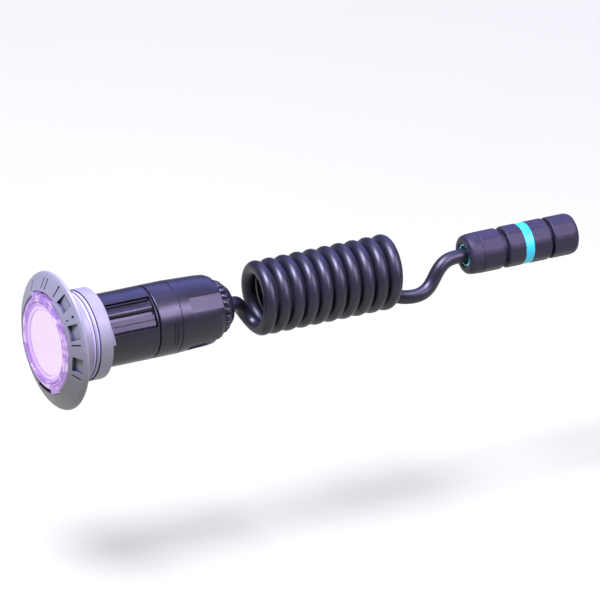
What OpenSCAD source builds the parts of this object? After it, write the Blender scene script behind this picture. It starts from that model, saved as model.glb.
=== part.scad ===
// Underwater pool light: a sealed LED head on a long body, held in a wall fitting by a push fit,
// with a curly supply cable and a waterproof in-line connector. The light's axis is Y: the lens
// looks along -Y and the cable leaves along +Y. The origin is where that axis meets the wall plane.

/* [Wall fitting] */
// Outer radius of the trim flange
rim_r = 45.5; // [44.5:0.5:48]
// Outer radius of the collar that slips into the wall socket
collar_r = 30; // [29.8:0.1:31]
// Distance from the wall plane to the end of the collar
collar_len = 25.4; // [24.4:0.2:28]
// Recessed windows in the face of the trim flange
window_w = 10.2; // [6:0.2:11]

/* [Light] */
// Radius of the black body
body_r = 24; // [23.6:0.1:24.2]
// Outer radius of the lens ring
ring_r = 30.9; // [30:0.1:31.1]
// Radius of the clear centre of the lens
disc_r = 21.6; // [18:0.2:22]
// LEDs in the outer circle of the board
outer_leds = 12; // [6:1:16]
// Nubs around the gland nut
nub_count = 22; // [14:1:24]

/* [Cable] */
// Diameter of the cable
cable_d = 9.2; // [8:0.1:9.4]
// Radius of the coil, to the middle of the cable
coil_r = 19.8; // [19:0.1:20.6]
// Distance from one turn of the coil to the next
coil_pitch = 10.15; // [9.5:0.05:10.3]

/* [Connector] */
// Radius over the corners of the connector's nuts
nut_r = 13.4; // [13:0.1:14]
// Radius of the hole that takes the supply cable
supply_r = 4.6; // [4:0.1:5.4]

/* [Hidden] */
$fn = 96;

// Gap between pieces that move past each other
gap = 0.3;
cut = 1;

// Colours
shell_grey = [0.74, 0.72, 0.82];
lens_violet = [0.72, 0.55, 0.92];
glow_pink = [0.98, 0.88, 0.98];
black = [0.1, 0.1, 0.14];
teal = [0.25, 0.65, 0.63];
cyan = [0.2, 0.86, 0.92];
silver = [0.78, 0.79, 0.8];

// Trim flange: the cone runs from its inner edge to where the rim's rounding starts
cone_r = [33.5, 43.2];
cone_y = [-8.1, -3.3];
cone_tilt = atan((cone_y[1] - cone_y[0]) / (cone_r[1] - cone_r[0]));
face_mid_r = 38.6;
window_len = 8.4;
window_depth = 1.7;
window_lean = 12;
window_angles = [63, 32.5, 0];
slit_angles = [131, 107, 100, 80, 20, -13];
slit_len = 7.4;
lug_angles = [118, -62];
lug_w = 9;
lug_r = 33.2;
lug_turn = 30;

// Wall fitting
flange_bore_r = ring_r + 0.5;
disc_front_y = -2;
fitting_disc_r = 38;
shank_r = collar_r - 0.5;
groove_r = 27.3;
groove_y = [11.2, 13.4, 14.5, 16.4];
fitting_bore_r = body_r + 0.5;
tooth_angle = [7, 35];
tooth_h = 2.1;

// Light head
head_r = 26.1;
head_front_y = -4.9;
head_back_y = disc_front_y - gap;
head_bore_r = 21.2;
board_y = 4;
ring_front_y = -9.7;
lens_front_y = ring_front_y + 0.8;
lens_back_y = -5.9;

// Body
body_end_y = 62.2;
body_bore_r = 18.6;
recess_floor_r = 21.2;
recess_angle = [16, 70];
recess_y = [6, 61.2];
housing_y = [63.2, 111.2];
flat_angles = [39.5, 129.5, 219.5, 309.5];
flat_w = 10.6;

// Glands
gland_spigot_r = 11;
gland_nut_r = 15.6;
gland_nut_y = [111.6, 122.2];
nub_r = 1.8;
bush_bore_r = cable_d / 2 + 0.2;

// Connector, front to back
front_nut_y = [296, 320.3];
front_body_y = [324.2, 335.4];
seal_y = [335.5, 341.7];
rear_body_y = [341.8, 354.8];
rear_nut_y = [357.2, 375.5];
thread_r = 9.7;
mouth_r = 7.8;

// Coil: left-handed, it turns from the bottom towards +X as it runs towards the connector
coil_start_y = 142.5;
coil_turns = 9.8;
coil_end_y = coil_start_y + coil_turns * coil_pitch;

// Cable from the gland into the coil's first turn, as x, y, z
lead_front_route = [
    [0, 112, 0], [0, 120, 0], [0, 127, 0], [-4, 132.5, -2], [-5.5, 137.5, -9],
    [-0.5, 141.5, -16], [8.5, 143.2, -18], [17, 143.6, -13.4], [20.6, 144.2, -2.2]];
// Cable from the coil to the connector
lead_rear_route = [
    [-8, 244, -18.5], [-1.5, 247.5, -20.5], [3, 255, -20.5], [5, 262, -19.5],
    [4, 268.5, -17], [2.5, 273, -12], [2, 277, -4.5], [0.5, 283.5, -0.5],
    [0, 290, 0], [0, 298, 0], [0, 307, 0], [0, 318, 0]];

// Revolved solid about the Y axis from points given as [radius, y]
module turned(points) {
    rotate([-90, 0, 0]) rotate_extrude() polygon(points);
}

// Part of a ring about the Y axis, from one angle to another measured from +X towards +Z
module ring_sector(inner, outer, y_range, angles) {
    rotate([0, -angles[1], 0]) rotate([-90, 0, 0])
        rotate_extrude(angle = angles[1] - angles[0])
            translate([inner, y_range[0]]) square([outer - inner, y_range[1] - y_range[0]]);
}

module ring_y(inner, outer, y_range) {
    turned([[inner, y_range[0]], [outer, y_range[0]], [outer, y_range[1]], [inner, y_range[1]]]);
}

module rod_y(radius, y_range) {
    translate([0, y_range[0], 0]) rotate([-90, 0, 0])
        cylinder(r = radius, h = y_range[1] - y_range[0]);
}

// Child drawn along +X is turned to an angle measured from +X towards +Z
module at_angle(angle) {
    rotate([0, -angle, 0]) children();
}

module torus_y(radius, section_r, y) {
    translate([0, y, 0]) rotate([-90, 0, 0]) rotate_extrude()
        translate([radius, 0]) circle(r = section_r, $fn = 32);
}

// Eight-sided bar along Y, whose corners are turned down to a profile
module octagon_bar(corner_r, y_range, profile) {
    intersection() {
        translate([0, y_range[0], 0]) rotate([-90, 0, 0]) rotate([0, 0, 22.5])
            cylinder(r = corner_r * 0.965 / cos(22.5), h = y_range[1] - y_range[0], $fn = 8);
        turned(profile);
    }
}

// Puts a child, drawn on the plane y = 0, on the flange's cone, leaning a little less than it
module on_cone(angle, radius, lean = 0) {
    y = cone_y[0] + (radius - cone_r[0]) * tan(cone_tilt);
    at_angle(angle) translate([radius, y, 0]) rotate([0, 0, cone_tilt - lean]) children();
}

module box_pocket(length, width, depth) {
    translate([-length / 2, -3, -width / 2]) cube([length, 3 + depth, width]);
}

module pit(radius) {
    translate([0, -3, 0]) rotate([-90, 0, 0]) cylinder(r = radius, h = 3.8, $fn = 32);
}

module trim_flange() {
    color(shell_grey) difference() {
        turned([[flange_bore_r, -8.2], [flange_bore_r + 0.6, -8.6], [cone_r[0], cone_y[0]],
            [cone_r[1], cone_y[1]], [rim_r - 1.1, -2.2], [rim_r - 0.3, -1.2], [rim_r, -0.6],
            [rim_r - 0.3, 0], [fitting_disc_r + 0.1, 0], [fitting_disc_r + 0.1, disc_front_y],
            [flange_bore_r, disc_front_y]]);
        for (angle = window_angles)
            on_cone(angle, face_mid_r, window_lean) box_pocket(window_len, window_w, window_depth);
        for (angle = slit_angles)
            on_cone(angle, face_mid_r) box_pocket(slit_len, 1, 0.7);
        on_cone(-96, 36.4) box_pocket(3, 1, 0.7);
        on_cone(46.5, 41) pit(1);
        on_cone(46, 36.4) pit(0.7);
        on_cone(80, 42.2) pit(0.9);
        for (lug = lug_angles)
            ring_sector(flange_bore_r - cut, lug_r + 0.6, [-10, -5.9],
                [lug - lug_turn - 10.5, lug + 10.5]);
    }
}

module wall_fitting() {
    color(shell_grey) {
        turned([[fitting_bore_r, disc_front_y], [fitting_disc_r, disc_front_y], [fitting_disc_r, 0],
            [shank_r, 0], [shank_r, groove_y[0]], [groove_r, groove_y[0]], [groove_r, groove_y[1]],
            [shank_r, groove_y[1]], [shank_r, groove_y[2]], [groove_r, groove_y[2]],
            [groove_r, groove_y[3]], [collar_r, groove_y[3]], [collar_r, collar_len - 0.6],
            [collar_r - 0.6, collar_len], [fitting_bore_r, collar_len]]);
        for (side = [0, 180]) lock_tooth(side);
    }
}

// Low ramp on the collar's end face, square at one end and running down below the face at the other
module lock_tooth(side) {
    middle = side + (tooth_angle[0] + tooth_angle[1]) / 2;
    half = (tooth_angle[1] - tooth_angle[0]) / 2;
    run = collar_r * sin(half);
    sink = 0.4;
    difference() {
        ring_sector(fitting_bore_r + 1.5, collar_r - 0.9, [collar_len - 1, collar_len + tooth_h],
            [middle - half, middle + half]);
        at_angle(middle) translate([fitting_bore_r, collar_len + tooth_h, -run])
            rotate([atan((tooth_h + sink) / (2 * run)), 0, 0]) cube([10, 10, 3 * run]);
    }
}

module collar_oring_front() {
    color([0.55, 0.53, 0.62]) torus_y(groove_r + 1.05, 1, (groove_y[0] + groove_y[1]) / 2);
}

module collar_oring_rear() {
    color([0.55, 0.53, 0.62]) torus_y(groove_r + 0.95, 0.9, (groove_y[2] + groove_y[3]) / 2);
}

module lens_ring() {
    bore = head_r + gap;
    color(lens_violet) {
        turned([[bore - 1, ring_front_y], [ring_r - 1, ring_front_y], [ring_r - 0.3, ring_front_y + 0.3],
            [ring_r, ring_front_y + 1], [ring_r, head_back_y], [bore, head_back_y],
            [bore, ring_front_y + 0.5], [bore - 1, ring_front_y + 0.5]]);
        for (lug = lug_angles) at_angle(lug)
            translate([ring_r - 1.5, ring_front_y + 0.4, -lug_w / 2])
                cube([lug_r - ring_r + 1.5, 3, lug_w]);
    }
}

module front_lens() {
    color(glow_pink) turned([[0, lens_front_y + 1.1], [disc_r, lens_front_y + 1.1],
        [disc_r + 1, lens_front_y], [head_r, lens_front_y], [head_r, lens_back_y], [0, lens_back_y]]);
}

module lens_gasket() {
    color(black) ring_y(22.6, head_r - 0.1, [lens_back_y, head_front_y]);
}

module diffuser() {
    color([1, 0.94, 1]) rod_y(22.4, [lens_back_y, head_front_y]);
}

module reflector() {
    color("white") turned([[20, head_front_y + 0.1], [21, head_front_y + 0.1],
        [21, head_front_y + 0.9], [15.6, 2.2], [14.6, 2.2]]);
}

module led_board() {
    color([0.9, 0.92, 0.9]) rod_y(head_bore_r - 0.1, [board_y - 1.6, board_y]);
}

module leds() {
    color([1, 0.95, 0.6]) {
        for (i = [0 : outer_leds - 1]) at_angle(i * 360 / outer_leds) led(11.5);
        for (i = [0 : 5]) at_angle(i * 60) led(5.5);
    }
}

module led(radius) {
    translate([radius - 1.5, board_y - 2.8, -1.5]) cube([3, 1.2, 3]);
}

module heat_sink() {
    color(silver) {
        rod_y(body_bore_r - 0.1, [board_y, board_y + 4]);
        rod_y(6, [board_y + 4, 26]);
        for (i = [0 : 11]) at_angle(i * 30) translate([5, board_y + 4, -0.7]) cube([13, 18, 1.4]);
    }
}

module driver_board() {
    color([0.1, 0.35, 0.2]) translate([-15, 27, -0.8]) cube([30, 27, 1.6]);
}

module driver_parts() {
    color([0.2, 0.2, 0.22]) {
        translate([-7, 34, 0.8]) rotate_extrude() translate([4.5, 2]) circle(r = 2, $fn = 32);
        translate([7, 34, 0.8]) cylinder(r = 4, h = 10, $fn = 48);
        translate([3, 43, 0.8]) cube([8, 6, 2]);
        translate([-11, 44, 0.8]) cube([7, 7, 3.5]);
        translate([-4, 31, -3.8]) cube([8, 12, 3]);
    }
}

module front_body() {
    color(black) difference() {
        union() {
            rod_y(head_r, [head_front_y, head_back_y]);
            rod_y(body_r, [head_back_y - 0.1, body_end_y]);
        }
        rod_y(head_bore_r, [head_front_y - cut, board_y]);
        rod_y(body_bore_r, [board_y - cut, body_end_y + cut]);
        for (side = [0, 180])
            ring_sector(recess_floor_r, body_r + cut, recess_y,
                [side + recess_angle[0], side + recess_angle[1]]);
    }
}

// Ribs that fill each recess: a half-round one, a flat one in two strips, and low edge ledges
module side_ribs() {
    length = recess_y[1] - recess_y[0] - 1.2;
    start = recess_y[0] + 0.1;
    color(black) for (side = [0, 180]) {
        at_angle(side + 52) intersection() {
            translate([recess_floor_r - 0.4, start, 0]) rotate([-90, 0, 0]) cylinder(r = 3, h = length);
            translate([recess_floor_r + 0.02, start, -4]) cube([4, length, 8]);
        }
        at_angle(side + 29) for (strip = [-3.7, 0.3])
            translate([recess_floor_r + 0.02, start, strip]) cube([2, length, 3.4]);
        ring_sector(recess_floor_r + 0.02, 22.9, [start, start + length], [side + 66, side + 68]);
        ring_sector(recess_floor_r + 0.02, 22.4, [start, start + length], [side + 16.3, side + 19]);
    }
}

module housing_oring() {
    color([0.3, 0.3, 0.32]) torus_y(17.55, 0.9, 58);
}

module rear_housing() {
    spigot = body_bore_r - 0.1;
    color(black) difference() {
        turned([[15, 55], [spigot, 55], [spigot, 57], [16.6, 57], [16.6, 59], [spigot, 59],
            [spigot, housing_y[0]], [body_r - 0.5, housing_y[0]], [body_r, housing_y[0] + 0.5],
            [body_r, 78.7], [body_r - 0.4, 78.9], [body_r - 0.4, 79.2], [body_r, 79.4],
            [22.9, 104], [22.4, 108.4], [21.2, housing_y[1]],
            [gland_spigot_r, housing_y[1]], [gland_spigot_r, 120.4], [7, 120.4], [7, 108],
            [bush_bore_r, 108], [bush_bore_r, 104], [17, 104], [20.2, 92], [20.2, 68], [15, 64]]);
        for (angle = flat_angles) at_angle(angle) translate([22, 87, -flat_w / 2])
            rotate([0, 0, 4.5]) cube([6, 40, flat_w]);
        for (y = [73, 75.2])
            ring_sector(body_r - 0.4, body_r + cut, [y, y + 0.5], [-25, 17]);
    }
}

// Squeeze bush, flared at its rear end so that the cable can bend away
module gland_bush() {
    color([0.18, 0.18, 0.2]) turned([[bush_bore_r, 109], [6.8, 109], [6.8, 120.5],
        [bush_bore_r + 0.8, 120.5], [bush_bore_r, 118]]);
}

module gland_nut() {
    color(black) difference() {
        union() {
            turned([[bush_bore_r, gland_nut_y[0]], [gland_nut_r, gland_nut_y[0]],
                [gland_nut_r, 118.8], [gland_nut_r - 3, gland_nut_y[1]],
                [bush_bore_r, gland_nut_y[1]]]);
            for (i = [0 : nub_count - 1]) at_angle(i * 360 / nub_count)
                translate([gland_nut_r + 0.2, gland_nut_y[0] + 1, 0]) rotate([-90, 0, 0])
                    cylinder(r = nub_r, h = 6, $fn = 32);
        }
        rod_y(bush_bore_r + 0.9, [gland_nut_y[0] - cut, gland_nut_y[1] + cut]);
        rod_y(gland_spigot_r + gap, [gland_nut_y[0] - cut, 120.8]);
    }
}

function unit(v) = v / norm(v);

// Smooth curve that the route's points pull towards them, from the first point to the last
function spline(a, b, c, d, t) =
    (pow(1 - t, 3) * a + (3 * t * t * t - 6 * t * t + 4) * b
        + (1 + 3 * t + 3 * t * t - 3 * t * t * t) * c + t * t * t * d) / 6;
function with_ends(p) =
    concat([2 * p[0] - p[1]], p, [2 * p[len(p) - 1] - p[len(p) - 2]]);
function curve(p, steps) =
    let (q = with_ends(p))
    [for (i = [0 : len(q) - 4]) for (s = [0 : steps - 1])
        spline(q[i], q[i + 1], q[i + 2], q[i + 3], s / steps), p[len(p) - 1]];
function tangents(p) =
    [for (i = [0 : len(p) - 1]) unit(p[min(i + 1, len(p) - 1)] - p[max(i - 1, 0)])];
function flatten_to(n, t) = unit(n - (n * t) * t);
function normals(t) =
    [for (i = 0, n = flatten_to([1, 0, 0], t[0]); i < len(t); i = i + 1,
        n = flatten_to(n, t[min(i, len(t) - 1)])) n];

// Round cable swept along a route, with flat ends
module cable(route, sides = 12) {
    path = curve(route, 2);
    t = tangents(path);
    n = normals(t);
    rings = [for (i = [0 : len(path) - 1]) for (k = [0 : sides - 1])
        let (a = 360 * k / sides)
        path[i] + cable_d / 2 * (cos(a) * n[i] + sin(a) * cross(t[i], n[i]))];
    last = (len(path) - 1) * sides;
    walls = [for (i = [0 : len(path) - 2]) for (k = [0 : sides - 1]) for (half = [0, 1])
        let (a = i * sides + k, b = i * sides + (k + 1) % sides)
        half == 0 ? [a, b + sides, b] : [a, a + sides, b + sides]];
    start_cap = [[for (k = [0 : sides - 1]) k]];
    end_cap = [[for (k = [0 : sides - 1]) last + sides - 1 - k]];
    polyhedron(points = rings, faces = concat(walls, start_cap, end_cap));
}

module lead_front() {
    color(black) cable(lead_front_route);
}

module lead_rear() {
    color(black) cable(lead_rear_route);
}

module cable_coil() {
    half = cable_d / 2;
    color(black) ring_y(coil_r - half, coil_r + half, [coil_start_y - half, coil_end_y + half]);
}

// Clamping nut of the connector: its mouth is at y = 0 and its open end at y = length
module connector_nut(length) {
    difference() {
        octagon_bar(nut_r, [0, length], [[mouth_r, 0], [10.4, 0], [12.1, 1], [13, 3],
            [nut_r, 6.5], [nut_r, length - 0.5], [nut_r - 0.5, length], [mouth_r, length]]);
        rod_y(thread_r + gap, [5.5, length + cut]);
    }
}

// Clamp insert with its mouth towards -Y: a ring of claws behind the nut's mouth
module clamp_insert() {
    difference() {
        turned([[6.3, 0.8], [7.4, 0.8], [7.4, 5.8], [9.3, 5.8], [9.3, 7.2], [7.4, 7.2],
            [7.4, 13], [6.3, 13]]);
        for (i = [0 : 5]) at_angle(i * 60 + 30) translate([6, 0, -0.5]) cube([3, 5, 1]);
    }
}

// Turns a piece of the connector round so that its mouth looks along +Y
module from_rear(y) {
    translate([0, y, 0]) rotate([0, 0, 180]) children();
}

module connector_front_nut() {
    color(black) translate([0, front_nut_y[0], 0]) connector_nut(front_nut_y[1] - front_nut_y[0]);
}

module front_clamp_insert() {
    color(teal) translate([0, front_nut_y[0], 0]) clamp_insert();
}

module front_seal() {
    color([0.12, 0.12, 0.13]) ring_y(bush_bore_r, 6.2, [front_nut_y[0] + 3, front_nut_y[0] + 12]);
}

module connector_front_body() {
    start = front_nut_y[0] + 7.6;
    color(black) difference() {
        union() {
            rod_y(thread_r, [start, front_body_y[0] + cut]);
            octagon_bar(nut_r + 0.1, front_body_y, [[0, front_body_y[0]],
                [nut_r - 0.5, front_body_y[0]], [nut_r + 0.1, front_body_y[0] + 0.6],
                [nut_r + 0.1, front_body_y[1]], [0, front_body_y[1]]]);
            rod_y(10.4, [front_body_y[1] - cut, 346.5]);
        }
        rod_y(mouth_r, [start - cut, start + 7.4]);
        rod_y(bush_bore_r, [start, 319.5]);
        rod_y(9, [319, 347]);
    }
}

module wire_cores() {
    color([0.6, 0.35, 0.2]) for (i = [0 : 2]) at_angle(i * 120 + 90)
        translate([2, 318, 0]) rotate([-90, 0, 0]) cylinder(r = 1.2, h = 10, $fn = 24);
}

module terminal_block() {
    color([0.85, 0.85, 0.82]) difference() {
        translate([-6, 328, -6]) cube([12, 18, 12]);
        for (x = [-3.6, 0, 3.6]) for (y = [332, 342])
            translate([x, y, 3]) cylinder(r = 1.3, h = 4, $fn = 32);
    }
}

module terminal_screws() {
    color(silver) for (x = [-3.6, 0, 3.6]) for (y = [332, 342]) difference() {
        translate([x, y, 3]) cylinder(r = 1.25, h = 2.6, $fn = 32);
        translate([x - 2, y - 0.2, 5]) cube([4, 0.4, 1]);
    }
}

module seal_ring() {
    color(cyan) turned([[10.7, seal_y[0]], [nut_r - 0.3, seal_y[0]], [nut_r - 0.1, seal_y[0] + 0.3],
        [nut_r - 0.1, seal_y[1] - 0.3], [nut_r - 0.3, seal_y[1]], [10.7, seal_y[1]]]);
}

module connector_rear_body() {
    start = rear_nut_y[1] - 7.6;
    color(black) difference() {
        union() {
            octagon_bar(nut_r + 0.1, rear_body_y, [[0, rear_body_y[0]],
                [nut_r + 0.1, rear_body_y[0]], [nut_r + 0.1, rear_body_y[1] - 0.6],
                [nut_r - 0.5, rear_body_y[1]], [0, rear_body_y[1]]]);
            rod_y(thread_r, [rear_body_y[1] - cut, start]);
        }
        rod_y(10.7, [rear_body_y[0] - cut, 350]);
        rod_y(6, [349, start]);
        rod_y(mouth_r, [start - 7.4, start + cut]);
    }
}

module rear_clamp_insert() {
    color(teal) from_rear(rear_nut_y[1]) clamp_insert();
}

module rear_seal() {
    color([0.12, 0.12, 0.13]) ring_y(supply_r, 6.2, [rear_nut_y[1] - 12, rear_nut_y[1] - 3]);
}

module connector_rear_nut() {
    color(black) from_rear(rear_nut_y[1]) connector_nut(rear_nut_y[1] - rear_nut_y[0]);
}

trim_flange();
wall_fitting();
collar_oring_front();
collar_oring_rear();
lens_ring();
front_lens();
lens_gasket();
diffuser();
reflector();
led_board();
leds();
heat_sink();
driver_board();
driver_parts();
front_body();
side_ribs();
housing_oring();
rear_housing();
gland_bush();
gland_nut();
lead_front();
cable_coil();
lead_rear();
connector_front_nut();
front_clamp_insert();
front_seal();
connector_front_body();
wire_cores();
terminal_block();
terminal_screws();
seal_ring();
connector_rear_body();
rear_clamp_insert();
rear_seal();
connector_rear_nut();
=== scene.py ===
"""Looks of the underwater pool light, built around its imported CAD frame.

The light's axis is Y: the lens looks along -Y and the cable runs along +Y. Profiles are in
millimetres, as (radius, y), and angles about the axis run from +X towards +Z.
"""

import math

import bmesh
import bpy
from mathutils import Matrix, Quaternion, Vector


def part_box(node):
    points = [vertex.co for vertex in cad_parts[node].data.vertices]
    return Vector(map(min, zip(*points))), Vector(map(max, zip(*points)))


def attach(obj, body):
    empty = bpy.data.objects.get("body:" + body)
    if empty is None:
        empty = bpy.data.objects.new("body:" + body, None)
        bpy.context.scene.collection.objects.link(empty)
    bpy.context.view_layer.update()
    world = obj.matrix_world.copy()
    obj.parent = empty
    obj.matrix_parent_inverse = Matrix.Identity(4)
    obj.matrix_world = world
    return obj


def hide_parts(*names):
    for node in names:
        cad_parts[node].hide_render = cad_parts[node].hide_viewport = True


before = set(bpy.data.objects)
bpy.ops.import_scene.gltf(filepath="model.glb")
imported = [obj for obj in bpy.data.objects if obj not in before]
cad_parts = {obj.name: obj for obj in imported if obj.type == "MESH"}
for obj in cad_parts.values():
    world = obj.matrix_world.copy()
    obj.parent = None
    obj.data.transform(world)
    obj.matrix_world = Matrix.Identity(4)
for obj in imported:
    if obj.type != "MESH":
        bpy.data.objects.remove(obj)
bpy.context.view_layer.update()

MM = 0.001
TURN = 2 * math.pi


def span(node):
    """First y, last y and radius of a CAD node, in millimetres."""
    low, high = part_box(node)
    return low[1] / MM, high[1] / MM, max(high[0], -low[0]) / MM


# ---------------------------------------------------------------- camera

VIEW_AZIMUTH = 61
VIEW_ELEVATION = 25.8
VIEW_ROLL = 1.75
VIEW_DISTANCE = 16.2
VIEW_LENS = 1512
VIEW_CENTRE = Vector((0, 176.7, -7.6)) * MM


def direction(azimuth, elevation):
    """Unit vector from the object towards a viewer at that azimuth and elevation, in degrees."""
    a, e = math.radians(azimuth), math.radians(elevation)
    return Vector((math.sin(a) * math.cos(e), -math.cos(a) * math.cos(e), math.sin(e)))


def add_camera():
    camera = bpy.data.objects.new("camera", bpy.data.cameras.new("camera"))
    bpy.context.collection.objects.link(camera)
    back = direction(VIEW_AZIMUTH, VIEW_ELEVATION)
    camera.location = VIEW_CENTRE + back * VIEW_DISTANCE
    turn = Quaternion((0, 0, 1), math.radians(VIEW_ROLL))
    camera.rotation_euler = ((-back).to_track_quat("-Z", "Y") @ turn).to_euler()
    camera.data.lens = VIEW_LENS
    camera.data.sensor_width = 36
    camera.data.clip_end = 60
    bpy.context.scene.camera = camera


add_camera()

# ---------------------------------------------------------------- cable

CABLE_D = 0.0092
COIL_R = 0.0198
COIL_PITCH = 0.01015
COIL_START_Y = 0.1425
COIL_START_ANGLE = math.radians(-66)
COIL_TURNS = (0.25, 9.8)
POINTS_PER_TURN = 12

LEAD_FRONT_ROUTE = [
    (0, 0.112, 0), (0, 0.120, 0), (0, 0.127, 0), (-0.004, 0.1325, -0.002),
    (-0.0055, 0.1375, -0.009), (-0.0005, 0.1415, -0.016), (0.0085, 0.1432, -0.018),
    (0.017, 0.1436, -0.0134), (0.0206, 0.1442, -0.0022),
]
LEAD_REAR_ROUTE = [
    (-0.008, 0.244, -0.0185), (-0.0015, 0.2475, -0.0205), (0.003, 0.255, -0.0205),
    (0.005, 0.262, -0.0195), (0.004, 0.2685, -0.017), (0.0025, 0.273, -0.012),
    (0.002, 0.277, -0.0045), (0.0005, 0.2835, -0.0005), (0, 0.290, 0), (0, 0.298, 0),
    (0, 0.307, 0), (0, 0.318, 0),
]


def coil_points():
    """Control points of the coil, a little outside it so that the smooth curve has its radius."""
    step = TURN / POINTS_PER_TURN
    radius = COIL_R * 3 / (2 + math.cos(step))
    first, last = COIL_TURNS
    count = round((last - first) * POINTS_PER_TURN)
    points = []
    for k in range(count + 1):
        turned = TURN * (first + (last - first) * k / count)
        angle = COIL_START_ANGLE + turned
        y = COIL_START_Y + COIL_PITCH * turned / TURN
        points.append((radius * math.cos(angle), y, radius * math.sin(angle)))
    return points


def smooth_line(points, steps):
    """Uniform cubic B-spline along the points, from the first to the last."""
    p = [Vector(q) for q in points]
    p = [2 * p[0] - p[1], *p, 2 * p[-1] - p[-2]]
    line = []
    for i in range(len(p) - 3):
        for s in range(steps):
            t = s / steps
            weights = ((1 - t) ** 3, 3 * t**3 - 6 * t**2 + 4, -3 * t**3 + 3 * t**2 + 3 * t + 1, t**3)
            line.append(sum((w * q for w, q in zip(weights, p[i:i + 4])), Vector()) / 6)
    line.append(p[-2])
    return line


def line_length(line):
    return sum((b - a).length for a, b in zip(line, line[1:]))


def add_cable():
    line = smooth_line(LEAD_FRONT_ROUTE + coil_points() + LEAD_REAR_ROUTE, 10)
    curve = bpy.data.curves.new("cable", "CURVE")
    curve.dimensions = "3D"
    curve.bevel_depth = 1
    curve.bevel_resolution = 7
    curve.use_fill_caps = True
    spline = curve.splines.new("POLY")
    spline.points.add(len(line) - 1)
    for point, place in zip(spline.points, line):
        point.co = (*place, 1)
        point.radius = CABLE_D / 2
    spline.use_smooth = True
    cable = bpy.data.objects.new("cable", curve)
    bpy.context.collection.objects.link(cable)
    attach(cable, "light_unit")
    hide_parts("lead_front", "cable_coil", "lead_rear")
    return cable, line_length(line)


cable, cable_length = add_cable()

# ---------------------------------------------------------------- mesh building


def rounded(corners, steps=4):
    """Outline in millimetres. A corner given as (r, y, fillet) becomes an arc."""
    outline = []
    for i, corner in enumerate(corners):
        here = Vector(corner[:2])
        if len(corner) < 3:
            outline.append(here)
            continue
        before = Vector(corners[i - 1][:2]) - here
        after = Vector(corners[(i + 1) % len(corners)][:2]) - here
        reach = corner[2] / math.tan(before.angle(after) / 2)
        reach = min(reach, 0.48 * before.length, 0.48 * after.length)
        start = here + before.normalized() * reach
        end = here + after.normalized() * reach
        for k in range(steps + 1):
            t = k / steps
            outline.append(start * (1 - t) ** 2 + here * 2 * t * (1 - t) + end * t * t)
    return outline


def object_from(name, bm):
    bmesh.ops.remove_doubles(bm, verts=bm.verts, dist=1e-7)
    bmesh.ops.recalc_face_normals(bm, faces=bm.faces)
    mesh = bpy.data.meshes.new(name)
    bm.to_mesh(mesh)
    bm.free()
    obj = bpy.data.objects.new(name, mesh)
    bpy.context.collection.objects.link(obj)
    return obj


def around(radius, y, angle):
    """Point in metres, from a radius and y in millimetres and an angle in radians."""
    return Vector((radius * math.cos(angle), y, radius * math.sin(angle))) * MM


def add_lathe(bm, outline, segments, angles=(0, 360), shape=None):
    """Closed outline turned about Y. shape(r, y, degrees) may give another r and y."""
    whole = angles[1] - angles[0] == 360
    rings = []
    for k in range(segments if whole else segments + 1):
        degrees = angles[0] + (angles[1] - angles[0]) * k / segments
        places = [shape(r, y, degrees) if shape else (r, y) for r, y in outline]
        rings.append([bm.verts.new(around(*place, math.radians(degrees))) for place in places])
    pairs = list(zip(rings, rings[1:])) + ([(rings[-1], rings[0])] if whole else [])
    for a, b in pairs:
        for i in range(len(outline)):
            j = (i + 1) % len(outline)
            if outline[i][0] > 0 or outline[j][0] > 0:
                bm.faces.new((a[i], a[j], b[j], b[i]))
    if not whole:
        bm.faces.new(rings[0])
        bm.faces.new(rings[-1][::-1])


def lathe(name, corners, segments=160, shape=None):
    bm = bmesh.new()
    add_lathe(bm, rounded(corners), segments, shape=shape)
    return object_from(name, bm)


def add_sector(bm, radii, y_range, angles, shape=None):
    """Part of a ring about the axis, between two angles in degrees."""
    (r0, r1), (y0, y1) = radii, y_range
    segments = max(6, round(abs(angles[1] - angles[0]) / 2))
    add_lathe(bm, [(r0, y0), (r1, y0), (r1, y1), (r0, y1)], segments, angles, shape)


def add_prism(bm, section, length, angle=0.0, pivot=(0, 0), tilt=0.0):
    """Bar along Y with a section of (radial, tangential) points, from y length[0] to length[1].

    It is tilted about its pivot (radius, y), in the plane of the axis, then turned to the angle.
    """
    matrix = (
        Matrix.Rotation(-math.radians(angle), 4, "Y")
        @ Matrix.Translation((pivot[0] * MM, pivot[1] * MM, 0))
        @ Matrix.Rotation(math.radians(tilt), 4, "Z")
    )
    rings = [
        [bm.verts.new(matrix @ (Vector((r, y, t)) * MM)) for r, t in section] for y in length
    ]
    count = len(section)
    for i in range(count):
        j = (i + 1) % count
        bm.faces.new((rings[0][i], rings[0][j], rings[1][j], rings[1][i]))
    bm.faces.new(rings[0])
    bm.faces.new(rings[1][::-1])


def rectangle(r_range, half_width):
    (r0, r1), w = r_range, half_width
    return [(r0, -w), (r1, -w), (r1, w), (r0, w)]


def circle(radius, count=20):
    return [
        (radius * math.cos(TURN * k / count), radius * math.sin(TURN * k / count))
        for k in range(count)
    ]


def combine(obj, build, operation):
    """Cuts from obj, or joins to it, the solids that build(bm) draws."""
    bm = bmesh.new()
    build(bm)
    tool = object_from("tool", bm)
    modifier = obj.modifiers.new("combine", "BOOLEAN")
    modifier.operation = operation
    modifier.solver = "EXACT"
    modifier.use_self = True
    modifier.object = tool
    graph = bpy.context.evaluated_depsgraph_get()
    mesh = bpy.data.meshes.new_from_object(obj.evaluated_get(graph))
    obj.modifiers.clear()
    obj.data = mesh
    bpy.data.objects.remove(tool, do_unlink=True)


def cut(obj, build):
    combine(obj, build, "DIFFERENCE")


def join(obj, build):
    combine(obj, build, "UNION")


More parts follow.
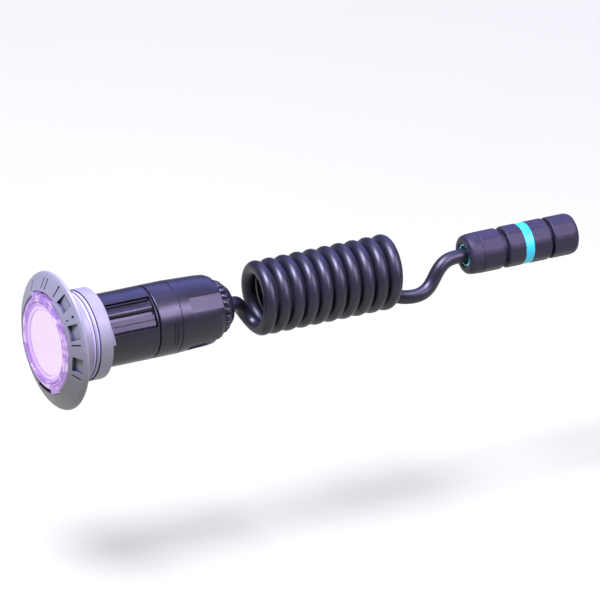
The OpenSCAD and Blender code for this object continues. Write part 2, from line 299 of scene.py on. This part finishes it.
def soften(obj, width, angle=38):
    """Small bevel on every sharp edge, and even shading. A width of 0 only shades."""
    if width:
        bevel = obj.modifiers.new("bevel", "BEVEL")
        bevel.width = width * MM
        bevel.segments = 2
        bevel.limit_method = "ANGLE"
        bevel.angle_limit = math.radians(angle)
    obj.data.polygons.foreach_set("use_smooth", [True] * len(obj.data.polygons))
    obj.data.set_sharp_from_angle(angle=math.radians(40))
    weighted = obj.modifiers.new("even_normals", "WEIGHTED_NORMAL")
    weighted.keep_sharp = True


# ---------------------------------------------------------------- materials


class Shader:
    """A node material around one Principled shader, with short calls for its pattern nodes."""

    def __init__(self, name, colour, roughness, **sockets):
        self.material = bpy.data.materials.new(name)
        self.material.use_nodes = True
        self.tree = self.material.node_tree
        self.surface = self.tree.nodes["Principled BSDF"]
        self.set("Base Color", (*colour, 1))
        self.set("Roughness", roughness)
        for socket, value in sockets.items():
            self.set(socket.replace("_", " "), value)

    def set(self, socket, value):
        self.surface.inputs[socket].default_value = value

    def node(self, kind, **settings):
        made = self.tree.nodes.new("ShaderNode" + kind)
        for key, value in settings.items():
            setattr(made, key, value)
        return made

    def link(self, source, target):
        self.tree.links.new(source, target)

    def place(self, scale=(1, 1, 1)):
        """Object coordinates in millimetres, stretched by scale."""
        coordinates = self.node("TexCoord").outputs["Object"]
        mapping = self.node("Mapping")
        mapping.inputs["Scale"].default_value = [s / MM for s in scale]
        self.link(coordinates, mapping.inputs["Vector"])
        return mapping.outputs["Vector"]

    def noise(self, size, detail, scale=(1, 1, 1)):
        """Noise whose features are about size millimetres across."""
        made = self.node("TexNoise")
        made.inputs["Scale"].default_value = 1 / size
        made.inputs["Detail"].default_value = detail
        self.link(self.place(scale), made.inputs["Vector"])
        return made.outputs["Fac"]

    def ramp(self, value, stops):
        """Colour ramp from (position, colour) stops."""
        made = self.node("ValToRGB")
        elements = made.color_ramp.elements
        while len(elements) < len(stops):
            elements.new(0.5)
        for element, (position, colour) in zip(elements, stops):
            element.position = position
            element.color = (*colour, 1)
        self.link(value, made.inputs["Fac"])
        return made.outputs["Color"]

    def between(self, value, low, high, new_low, new_high):
        """Value mapped from low..high to new_low..new_high, and kept inside them."""
        made = self.node("MapRange")
        sockets = ("From Min", "From Max", "To Min", "To Max")
        for socket, number in zip(sockets, (low, high, new_low, new_high)):
            made.inputs[socket].default_value = number
        self.link(value, made.inputs["Value"])
        return made.outputs["Result"]

    def feed(self, socket, value):
        """A number or a colour is set on the socket, and an output is linked to it."""
        if isinstance(value, (int, float)):
            socket.default_value = value
        elif isinstance(value, tuple):
            socket.default_value = (*value, 1)
        else:
            self.link(value, socket)

    def maths(self, operation, *values):
        made = self.node("Math", operation=operation)
        for socket, value in zip(made.inputs, values):
            self.feed(socket, value)
        return made.outputs["Value"]

    def mix(self, factor, a, b, blend="MIX"):
        """Mix of two colours; each is a colour or an output."""
        made = self.node("Mix", data_type="RGBA", blend_type=blend)
        for index, value in ((0, factor), (6, a), (7, b)):
            self.feed(made.inputs[index], value)
        return made.outputs[2]

    def colour(self, output):
        self.link(output, self.surface.inputs["Base Color"])

    def roughness(self, output):
        self.link(output, self.surface.inputs["Roughness"])

    def glow(self, output, strength):
        self.link(output, self.surface.inputs["Emission Color"])
        self.set("Emission Strength", strength)

    def bump(self, height, distance, strength=1.0):
        """Relief of that depth in millimetres."""
        made = self.node("Bump")
        made.inputs["Strength"].default_value = strength
        made.inputs["Distance"].default_value = distance * MM
        self.link(height, made.inputs["Height"])
        self.link(made.outputs["Normal"], self.surface.inputs["Normal"])

    def radius(self):
        """Distance from the light's axis in millimetres."""
        made = self.node("SeparateXYZ")
        self.link(self.place(), made.inputs[0])
        x, z = made.outputs["X"], made.outputs["Z"]
        squares = self.maths("MULTIPLY", x, x), self.maths("MULTIPLY", z, z)
        return self.maths("SQRT", self.maths("ADD", *squares))

    def openness(self, reach):
        """0 deep in corners and recesses of that size in millimetres, 1 out in the open; it masks
        painted shade.
        """
        made = self.node("AmbientOcclusion", samples=8, only_local=True)
        made.inputs["Distance"].default_value = reach * MM
        return self.between(made.outputs["AO"], 0.45, 0.9, 0, 1)


def moulded(name, light, dark, roughness, grain, recess_shade_colour=None, **sockets):
    """Moulded plastic or rubber: cloudy colour, a fine grain and faint handling marks.

    Where a recess shade colour is given, it darkens corners and recesses as painted shade.
    """
    shader = Shader(name, light, roughness, **sockets)
    cloud = shader.noise(9.0, 4)
    colour = shader.ramp(cloud, [(0.35, dark), (0.65, light)])
    # painted shade: corners and recesses take the shade colour where ambient occlusion finds them
    # closed in
    if recess_shade_colour:
        colour = shader.mix(shader.openness(5), recess_shade_colour, colour)
    shader.colour(colour)
    fine = shader.noise(0.55, 2)
    marks = shader.noise(14.0, 6, (1, 0.25, 1))
    shares = shader.maths("MULTIPLY", fine, 0.4), shader.maths("MULTIPLY", marks, 0.6)
    blend = shader.maths("ADD", *shares)
    shader.roughness(shader.between(blend, 0.3, 0.7, roughness * 0.82, roughness * 1.22))
    shader.bump(fine, grain)
    return shader.material


# The shell's third colour is painted shade, laid into its corners and recesses such as the flange's
# windows.
SHELL = moulded("shell_plastic", (0.18, 0.18, 0.185), (0.165, 0.165, 0.17), 0.42, 0.03,
                (0.03, 0.035, 0.06), Specular_IOR_Level=0.35)
BLACK = moulded("body_plastic", (0.010, 0.010, 0.014), (0.007, 0.007, 0.010), 0.36, 0.025,
                Specular_IOR_Level=0.36)
CABLE = moulded("cable_rubber", (0.008, 0.008, 0.013), (0.005, 0.005, 0.009), 0.42, 0.02,
                Specular_IOR_Level=0.42)
CONNECTOR = moulded("connector_plastic", (0.018, 0.015, 0.025), (0.013, 0.011, 0.019), 0.5, 0.04,
                    Specular_IOR_Level=0.3)
RUBBER = moulded("seal_rubber", (0.02, 0.02, 0.022), (0.012, 0.012, 0.013), 0.6, 0.03)
ORING = moulded("oring_rubber", (0.34, 0.31, 0.42), (0.28, 0.26, 0.36), 0.5, 0.02)
CYAN = moulded("cyan_seal", (0.02, 0.46, 0.54), (0.015, 0.40, 0.48), 0.45, 0.05)
TEAL = moulded("teal_clamp", (0.10, 0.52, 0.50), (0.05, 0.40, 0.39), 0.35, 0.03)
NYLON = moulded("terminal_nylon", (0.75, 0.75, 0.70), (0.66, 0.66, 0.61), 0.45, 0.03)
WIRE = moulded("wire_insulation", (0.42, 0.17, 0.06), (0.34, 0.13, 0.05), 0.4, 0.02)
GREEN_BOARD = moulded("board_mask", (0.03, 0.22, 0.10), (0.02, 0.15, 0.07), 0.35, 0.02)
WHITE_BOARD = moulded("led_board_mask", (0.86, 0.86, 0.84), (0.78, 0.78, 0.76), 0.4, 0.02)
CHIP = moulded("chip_plastic", (0.03, 0.03, 0.034), (0.02, 0.02, 0.024), 0.4, 0.03)
LED = moulded("led_phosphor", (0.95, 0.80, 0.25), (0.85, 0.68, 0.18), 0.3, 0.02)
ALUMINIUM = moulded("cast_aluminium", (0.66, 0.67, 0.68), (0.56, 0.57, 0.58), 0.38, 0.05,
                    Metallic=1.0)
STEEL = moulded("plated_steel", (0.68, 0.67, 0.62), (0.58, 0.57, 0.52), 0.3, 0.02, Metallic=1.0)
MIRROR = moulded("reflector_film", (0.9, 0.9, 0.92), (0.84, 0.84, 0.87), 0.12, 0.0, Metallic=1.0)
FROSTED = moulded("diffuser_frost", (0.95, 0.88, 0.97), (0.9, 0.82, 0.94), 0.55, 0.04)


LENS_DISC_R = 21.6
LENS_BAND_END_R = 26.1
LENS_DOT_PITCH = 1.7
RING_FACE_R = (25.4, 30.9)


def glowing_lens():
    """Clear lens with fine lens dots over its bright centre, and a violet band round it."""
    shader = Shader("front_lens_glow", (0.80, 0.60, 0.92), 0.16,
                    Coat_Weight=0.6, Coat_Roughness=0.08)
    radius = shader.radius()
    cells = shader.node("TexVoronoi", feature="F1")
    cells.inputs["Scale"].default_value = 1 / LENS_DOT_PITCH
    cells.inputs["Randomness"].default_value = 0.3
    shader.link(shader.place((1, 0, 1)), cells.inputs["Vector"])
    dots = shader.between(cells.outputs["Distance"], 0.15, 0.62, 1.0, 0.0)
    inside = shader.between(radius, LENS_DISC_R - 0.5, LENS_DISC_R + 0.3, 1.0, 0.0)
    cloud = shader.between(shader.noise(12.0, 3), 0.35, 0.65, 0, 1)
    warm = shader.mix(cloud, (1.0, 0.85, 0.99), (0.97, 0.84, 1.0))
    dotted = shader.mix(dots, (0.74, 0.52, 0.80), warm)
    band = shader.ramp(shader.between(radius, LENS_DISC_R, LENS_BAND_END_R, 0, 1), [
        (0.0, (0.28, 0.12, 0.45)), (0.1, (0.72, 0.46, 0.93)), (0.45, (0.85, 0.62, 1.0)),
        (0.58, (0.30, 0.16, 0.58)), (0.7, (0.62, 0.38, 0.92)), (1.0, (0.22, 0.10, 0.42)),
    ])
    shader.colour(shader.mix(inside, (0.08, 0.05, 0.14), (0.05, 0.04, 0.05)))
    shader.glow(shader.mix(inside, band, dotted), 0.88)
    shader.bump(shader.maths("MULTIPLY", dots, inside), 0.25, 0.8)
    return shader.material


def glowing_ring():
    """Translucent violet moulding that carries patches of the pink light, with painted shade
    darkening its grooves.
    """
    shader = Shader("lens_ring_glow", (0.05, 0.03, 0.09), 0.25,
                    Coat_Weight=0.4, Coat_Roughness=0.12)
    patches = shader.between(shader.noise(7.0, 1), 0.50, 0.60, 0, 1)
    pink = shader.mix(shader.noise(3.0, 2), (1.0, 0.72, 0.95), (0.72, 0.48, 0.95))
    violet = shader.mix(shader.noise(5.0, 2), (0.34, 0.15, 0.58), (0.56, 0.31, 0.83))
    # painted shade: darker rings on the glow where the face has its grooves, and a little at its
    # edges
    groove_shade = shader.ramp(shader.between(shader.radius(), *RING_FACE_R, 0, 1), [
        (0.0, (0.8, 0.8, 0.8)), (0.15, (1.0, 1.0, 1.0)), (0.24, (0.08, 0.06, 0.12)),
        (0.32, (0.9, 0.9, 0.9)), (0.54, (1.0, 1.0, 1.0)), (0.62, (0.20, 0.17, 0.26)),
        (0.70, (0.95, 0.95, 0.95)), (1.0, (0.75, 0.75, 0.8)),
    ])
    patched = shader.mix(patches, violet, pink)
    shader.glow(shader.mix(1, patched, groove_shade, "MULTIPLY"), 0.85)
    shader.bump(shader.noise(1.2, 2), 0.06)
    return shader.material


VIOLET = glowing_ring()
LENS = glowing_lens()


def paint(obj, material):
    obj.data.materials.clear()
    obj.data.materials.append(material)


def paint_node(node, material):
    """Gives a CAD node that stays a material on each of its slots."""
    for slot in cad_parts[node].material_slots:
        slot.material = material


def place_piece(obj, body, material, slot, *nodes):
    paint(obj, material)
    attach(obj, body)
    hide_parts(*nodes)


paint(cable, CABLE)

# ---------------------------------------------------------------- wall fitting

RIM_R = span("trim_flange")[2]
COLLAR_R = 30
RING_R = 30.9
CABLE_HOLE_R = 4.8
FLANGE_BORE_R = RING_R + 0.5
CONE = ((33.5, -8.1), (43.2, -3.3))
CONE_TILT = math.degrees(math.atan2(CONE[1][1] - CONE[0][1], CONE[1][0] - CONE[0][0]))
FACE_MID_R = 38.6
WINDOW_ANGLES = (63, 32.5, 0)
SLIT_ANGLES = (131, 107, 100, 80, 20, -13)
PITS = ((46.5, 41, 1), (46, 36.4, 0.7), (80, 42.2, 0.9))
MARK_DEPTH = 0.8
WINDOW_DEPTH = 1.7
WINDOW_LEAN = 12
# The notches are ranges of angles along the bore's edge.
NOTCHES = ((38, 47), (21, 30), (4, 12))
LUG_ANGLES = (118, -62)
LUG_TURN = 30
LUG_HALF_ANGLE = 10.5
COLLAR_END_Y = 25.4
TOOTH_ANGLES = (7, 34.5)
TOOTH_RAMP_ANGLE = 28


def on_cone(radius):
    """Pivot on the flange's cone at that radius."""
    return radius, CONE[0][1] + (radius - CONE[0][0]) * math.tan(math.radians(CONE_TILT))


def add_trim_flange():
    front, back, _ = span("trim_flange")
    piece = lathe("trim_ring", [
        (FLANGE_BORE_R, -2), (FLANGE_BORE_R, front, 0.4), (32.6, front, 0.5), (*CONE[0], 0.8),
        (*CONE[1], 1.5), (RIM_R - 0.5, -2.1, 1.6), (RIM_R, -0.6, 0.6), (RIM_R - 0.5, back, 0.3),
        (38.1, back, 0.2), (38.1, -2),
    ], 240)

    def openings(bm):
        def pocket(section, depth, angle, radius, lean=0):
            add_prism(bm, section, (-3, depth), angle, on_cone(radius), CONE_TILT - lean)

        for angle in WINDOW_ANGLES:
            pocket(rectangle((-4.2, 4.2), 5.1), WINDOW_DEPTH, angle, FACE_MID_R, WINDOW_LEAN)
        for angle in SLIT_ANGLES:
            pocket(rectangle((-3.7, 3.7), 0.5), MARK_DEPTH, angle, FACE_MID_R)
        pocket(rectangle((-1.5, 1.5), 0.5), MARK_DEPTH, -96, 36.4)
        for angle, radius, pit_r in PITS:
            pocket(circle(pit_r), MARK_DEPTH, angle, radius)
        for angles in NOTCHES:
            add_sector(bm, (FLANGE_BORE_R - 1, 32.9), (-10, -7.2), angles)
        for angle in LUG_ANGLES:
            angles = (angle - LUG_TURN - LUG_HALF_ANGLE, angle + LUG_HALF_ANGLE)
            add_sector(bm, (FLANGE_BORE_R - 1, 33.8), (-10, -5.9), angles)

    cut(piece, openings)
    soften(piece, 0.3)
    place_piece(piece, "wall_fitting", SHELL, "shell", "trim_flange")


def add_wall_fitting():
    bore = span("front_body")[2] - 1.6
    piece = lathe("collar", [
        (bore, -2), (38, -2, 0.2), (38, 0), (29.5, 0, 0.4), (29.5, 11.2, 0.3), (27.3, 11.2, 0.2),
        (27.3, 13.4, 0.2), (29.5, 13.4, 0.25), (29.5, 14.5, 0.25), (27.3, 14.5, 0.2),
        (27.3, 16.4, 0.2), (COLLAR_R, 16.4, 0.35), (COLLAR_R, COLLAR_END_Y, 0.7),
        (bore, COLLAR_END_Y, 0.5),
    ], 200)

    def teeth(bm):
        top = span("wall_fitting")[1]
        rise = top - COLLAR_END_Y + 0.2
        for side in (0, 180):
            start, end = (side + angle for angle in TOOTH_ANGLES)

            def ramp(r, y, degrees):
                share = (degrees - start) / TOOTH_RAMP_ANGLE
                return r, y if y < COLLAR_END_Y else top - rise * share

            add_sector(bm, (26, COLLAR_R - 0.5), (COLLAR_END_Y - 1, top), (start, end), ramp)

    join(piece, teeth)
    soften(piece, 0.25)
    place_piece(piece, "wall_fitting", SHELL, "shell", "wall_fitting")


add_trim_flange()
add_wall_fitting()

# ---------------------------------------------------------------- light head


def add_lens_ring():
    front, back, _ = span("lens_ring")
    piece = lathe("bayonet_ring", [
        (26.4, back, 0.2), (26.4, front + 0.5), (25.4, front + 0.5), (25.4, front, 0.15),
        (26.3, front, 0.15), (26.5, front + 0.7), (27.0, front + 0.7), (27.2, front, 0.15),
        (28.4, front + 0.1, 0.2), (28.7, front + 0.6, 0.1), (30.0, front + 0.75, 0.3),
        (RING_R, front + 1.5, 0.3), (RING_R, back, 0.2),
    ], 200)

    def lugs(bm):
        for angle in LUG_ANGLES:
            add_prism(bm, rectangle((29.2, 33.2), 4.5), (front + 0.4, front + 3.4), angle)

    join(piece, lugs)
    soften(piece, 0.3)
    place_piece(piece, "lens_ring", VIOLET, "violet_lens", "lens_ring")


def add_front_lens():
    front, back, radius = span("front_lens")
    piece = lathe("lens", [
        (0, front + 1.1), (LENS_DISC_R, front + 1.1, 0.1), (22.3, front + 0.3, 0.2),
        (23.4, front, 0.3), (23.8, front + 0.35, 0.1), (24.3, front + 0.35, 0.1),
        (24.6, front, 0.3), (radius, front, 0.1), (radius, back, 0.2), (0, back),
    ], 200)
    soften(piece, 0)
    place_piece(piece, "light_unit", LENS, "clear_lens", "front_lens")


add_lens_ring()
add_front_lens()

# ---------------------------------------------------------------- body

BODY_R = 24
RECESS_FLOOR_R = 21.2
RECESS_Y = (6, 61.2)
FLAT_ANGLES = (39.5, 129.5, 219.5, 309.5)


def add_front_body():
    front, back, head = span("front_body")
    piece = lathe("front_shell", [
        (21.2, front, 0.2), (head, front, 0.2), (head, -2.3, 0.2), (BODY_R, -2.3),
        (BODY_R, back, 0.4), (18.6, back, 0.2), (18.6, 4), (21.2, 4),
    ], 200)

    def recesses(bm):
        for side in (0, 180):
            add_sector(bm, (RECESS_FLOOR_R, BODY_R + 1), RECESS_Y, (side + 16, side + 70))

    cut(piece, recesses)
    soften(piece, 0.3)
    place_piece(piece, "light_unit", BLACK, "body", "front_body")


def add_side_rails():
    low_y, high_y, _ = span("side_ribs")
    floor = RECESS_FLOOR_R + 0.02
    bm = bmesh.new()
    arc = [math.radians(-81 + 162 * k / 18) for k in range(19)]
    dome = [(RECESS_FLOOR_R - 0.4 + 3 * math.cos(a), 3 * math.sin(a)) for a in arc]
    for side in (0, 180):
        add_prism(bm, dome, (low_y, high_y), side + 52)
        for t in (-3.7, 0.3):
            strip = [(floor, t), (floor + 2, t), (floor + 2, t + 3.4), (floor, t + 3.4)]
            add_prism(bm, strip, (low_y, high_y), side + 29)
        add_sector(bm, (floor, 22.9), (low_y, high_y), (side + 66, side + 68))
        add_sector(bm, (floor, 22.4), (low_y, high_y), (side + 16.3, side + 19))
    piece = object_from("side_rails", bm)
    soften(piece, 0.3, 50)
    place_piece(piece, "light_unit", BLACK, "body", "side_ribs")


def add_rear_housing():
    spigot_start, spigot_end, _ = span("rear_housing")
    piece = lathe("rear_shell", [
        (15, spigot_start), (18.5, spigot_start, 0.3), (18.5, 57), (16.6, 57), (16.6, 59),
        (18.5, 59), (18.5, 63.2), (BODY_R - 0.3, 63.2, 0.2), (BODY_R, 63.7, 0.3), (BODY_R, 78.7),
        (BODY_R - 0.45, 78.9), (BODY_R - 0.45, 79.25), (BODY_R, 79.45), (22.9, 104, 12),
        (22.4, 108.4, 3), (21.2, 111.2, 0.5), (11, 111.2, 0.1), (11, spigot_end, 0.3),
        (7, spigot_end), (7, 108), (CABLE_HOLE_R, 108), (CABLE_HOLE_R, 104), (17, 104), (20.2, 92),
        (20.2, 68), (15, 64),
    ], 200)

    def marks(bm):
        for angle in FLAT_ANGLES:
            add_prism(bm, rectangle((0, 6), 5.3), (0, 40), angle, (22, 87), 4.5)
        for y in (73, 75.2):
            add_sector(bm, (BODY_R - 0.4, BODY_R + 1), (y, y + 0.5), (-25, 17))

    cut(piece, marks)
    soften(piece, 0.25)
    place_piece(piece, "light_unit", BLACK, "body", "rear_housing")


def add_gland_nut():
    front, back, _ = span("gland_nut")
    nut_r, nub_r, nub_count = 15.6, 1.8, 22
    nub_y = (112.6, 118.6)
    nub_middle, nub_half = (nub_y[0] + nub_y[1]) / 2, (nub_y[1] - nub_y[0]) / 2

    def scallop(r, y, degrees):
        """Ball-shaped nubs that stand out from the nut's side."""
        if r < nut_r - 0.2:
            return r, y
        off = abs((degrees * nub_count / 360 + 0.5) % 1 - 0.5) * TURN / nub_count * nut_r
        swell = 0.2 + math.sqrt(nub_r**2 - off**2) if off < nub_r else 0
        fade = math.sqrt(max(0, 1 - ((y - nub_middle) / nub_half) ** 2))
        return r + swell * fade, y

    shares = (-1, -0.98, -0.9, -0.7, -0.4, 0, 0.4, 0.7, 0.9, 0.98, 1)
    side = [(nut_r, nub_middle + nub_half * share) for share in shares]
    piece = lathe("crown_nut", [
        (5.5, front), (11.3, front), (nut_r, front), *side,
        (12.8, back - 0.1, 0.6), (7, back, 0.3), (5.5, back - 0.8, 0.4),
    ], nub_count * 20, scallop)
    soften(piece, 0)
    place_piece(piece, "gland_nut", BLACK, "body", "gland_nut")


add_front_body()
add_side_rails()
add_rear_housing()
add_gland_nut()

# ---------------------------------------------------------------- connector

NUT_R = 13.4
THREAD_BORE_R = 10
FLAT_SHARE = 0.965
OCTANT = 45


def facets(corner_r, y_range):
    """Eight flats, whose corners stay on a circle, over part of the length."""
    flat = corner_r * FLAT_SHARE

    def shape(r, y, degrees):
        if r < flat or not y_range[0] <= y <= y_range[1]:
            return r, y
        turned = math.radians((degrees + OCTANT / 2) % OCTANT - OCTANT / 2)
        return min(r, flat / math.cos(turned)), y

    return shape


def add_clamp_nut(name, body, node, mouth_y, open_y, shoulder):
    """Clamping nut whose rounded mouth is at one y, and its open end at the other.

    The shoulder is the corners between the mouth and the flats, with y counted from the mouth.
    """
    way = 1 if open_y > mouth_y else -1
    length = abs(open_y - mouth_y)
    corners = [
        (7.8, 0, 0.4), (10.4, 0, 1.0), (12.5, 1.2, 1.6), *shoulder, (NUT_R, length - 0.6, 0.3),
        (NUT_R - 0.5, length, 0.2), (THREAD_BORE_R, length, 0.2), (THREAD_BORE_R, 5.5), (7.8, 5.5),
    ]
    corners = [(c[0], mouth_y + way * c[1], *c[2:]) for c in corners]
    faceted = sorted((mouth_y + way * (shoulder[-1][1] - 0.5), open_y))
    piece = lathe(name, corners, 320, facets(NUT_R, faceted))
    soften(piece, 0)
    place_piece(piece, body, CONNECTOR, "connector", node)


def add_front_connector_body():
    start, end, _ = span("connector_front_body")
    face, rear = 324.2, 335.4
    piece = lathe("plug_body", [
        (7.8, start, 0.2), (9.7, start, 0.3), (9.7, face), (12.8, face, 0.3),
        (13.5, face + 0.8, 0.3), (13.5, rear, 0.2), (10.4, rear), (10.4, end, 0.3), (9, end),
        (9, 319.5), (CABLE_HOLE_R, 319.5), (CABLE_HOLE_R, start + 7.4), (7.8, start + 7.4),
    ], 320, facets(13.5, (face + 0.3, rear)))
    soften(piece, 0)
    place_piece(piece, "light_unit", CONNECTOR, "connector", "connector_front_body")


def add_rear_connector_body():
    start, end, _ = span("connector_rear_body")
    shoulder = 354.8
    piece = lathe("socket_body", [
        (10.7, start, 0.2), (13.5, start, 0.2), (13.5, shoulder - 0.8, 0.3), (12.8, shoulder, 0.3),
        (9.7, shoulder), (9.7, end, 0.3), (7.8, end, 0.2), (7.8, end - 7.4), (6, end - 7.4),
        (6, 350), (10.7, 350),
    ], 320, facets(13.5, (start, shoulder - 0.3)))
    soften(piece, 0)
    place_piece(piece, "connector_rear_body", CONNECTOR, "connector", "connector_rear_body")


def add_seal_ring():
    start, end, radius = span("seal_ring")
    piece = lathe("seal_band", [
        (10.7, start, 0.2), (radius, start, 0.35), (radius, end, 0.35), (10.7, end, 0.2),
    ], 200)
    soften(piece, 0)
    place_piece(piece, "seal_ring", CYAN, "cyan_seal", "seal_ring")


nut_mouth, nut_end, _ = span("connector_front_nut")
add_clamp_nut(
    "front_clamp_nut", "connector_front_nut", "connector_front_nut", nut_mouth, nut_end,
    [(13.1, 4, 2.0), (13.35, 8.5), (12.9, 8.75), (12.9, 9.15), (13.1, 9.25), (NUT_R, 9.75, 0.2)])
nut_end, nut_mouth, _ = span("connector_rear_nut")
add_clamp_nut(
    "rear_clamp_nut", "connector_rear_nut", "connector_rear_nut", nut_mouth, nut_end,
    [(13.1, 2.6, 1.2), (NUT_R, 4.2, 0.6)])
add_front_connector_body()
add_rear_connector_body()
add_seal_ring()

# ---------------------------------------------------------------- CAD nodes that stay

for material, nodes in (
    (ORING, ["collar_oring_front", "collar_oring_rear"]),
    (RUBBER, ["lens_gasket", "housing_oring", "gland_bush", "front_seal", "rear_seal"]),
    (FROSTED, ["diffuser"]),
    (MIRROR, ["reflector"]),
    (WHITE_BOARD, ["led_board"]),
    (LED, ["leds"]),
    (ALUMINIUM, ["heat_sink"]),
    (GREEN_BOARD, ["driver_board"]),
    (CHIP, ["driver_parts"]),
    (TEAL, ["front_clamp_insert", "rear_clamp_insert"]),
    (WIRE, ["wire_cores"]),
    (NYLON, ["terminal_block"]),
    (STEEL, ["terminal_screws"]),
):
    for node in nodes:
        paint_node(node, material)

# ---------------------------------------------------------------- floor and light

FLOOR_Z = -0.16
FLOOR_SIZE = 6
FLOOR_GLOW = 0.48


def add_floor():
    """Floor that glows a little and is tinted against the lights, so that it looks plain white."""
    bm = bmesh.new()
    bmesh.ops.create_grid(bm, x_segments=1, y_segments=1, size=FLOOR_SIZE)
    floor = object_from("floor", bm)
    floor.location.z = FLOOR_Z
    light, dark = (0.168, 0.182, 0.108), (0.158, 0.171, 0.102)
    shader = Shader("floor_paint", light, 0.9)
    shader.set("Emission Color", (1, 1, 1, 1))
    shader.set("Emission Strength", FLOOR_GLOW)
    shader.colour(shader.ramp(shader.noise(400, 2), [(0.3, dark), (0.7, light)]))
    paint(floor, shader.material)


def add_area(name, azimuth, elevation, distance, size, power, colour):
    """Soft light of size (width, height) that looks at the middle of the object."""
    lamp = bpy.data.lights.new(name, "AREA")
    lamp.shape = "RECTANGLE"
    lamp.size, lamp.size_y = size
    lamp.energy = power
    lamp.color = colour
    obj = bpy.data.objects.new(name, lamp)
    back = direction(azimuth, elevation)
    obj.location = VIEW_CENTRE + back * distance
    obj.rotation_euler = (-back).to_track_quat("-Z", "Y").to_euler()
    bpy.context.collection.objects.link(obj)


add_floor()
add_area("key", 122, 41, 1.6, (0.45, 0.95), 44, (0.72, 0.59, 1.0))
add_area("back_blue", 222, 42, 1.6, (1.4, 1.1), 20, (0.28, 0.29, 1.0))
add_area("front_top", 5, 72, 2.0, (0.8, 0.8), 190, (0.66, 0.63, 1.0))

world = bpy.data.worlds.new("studio")
bpy.context.scene.world = world
world.use_nodes = True
background = world.node_tree.nodes["Background"]
background.inputs["Color"].default_value = (0.9, 0.9, 1.0, 1)
background.inputs["Strength"].default_value = 0.10
bpy.context.scene.view_settings.view_transform = "Standard"
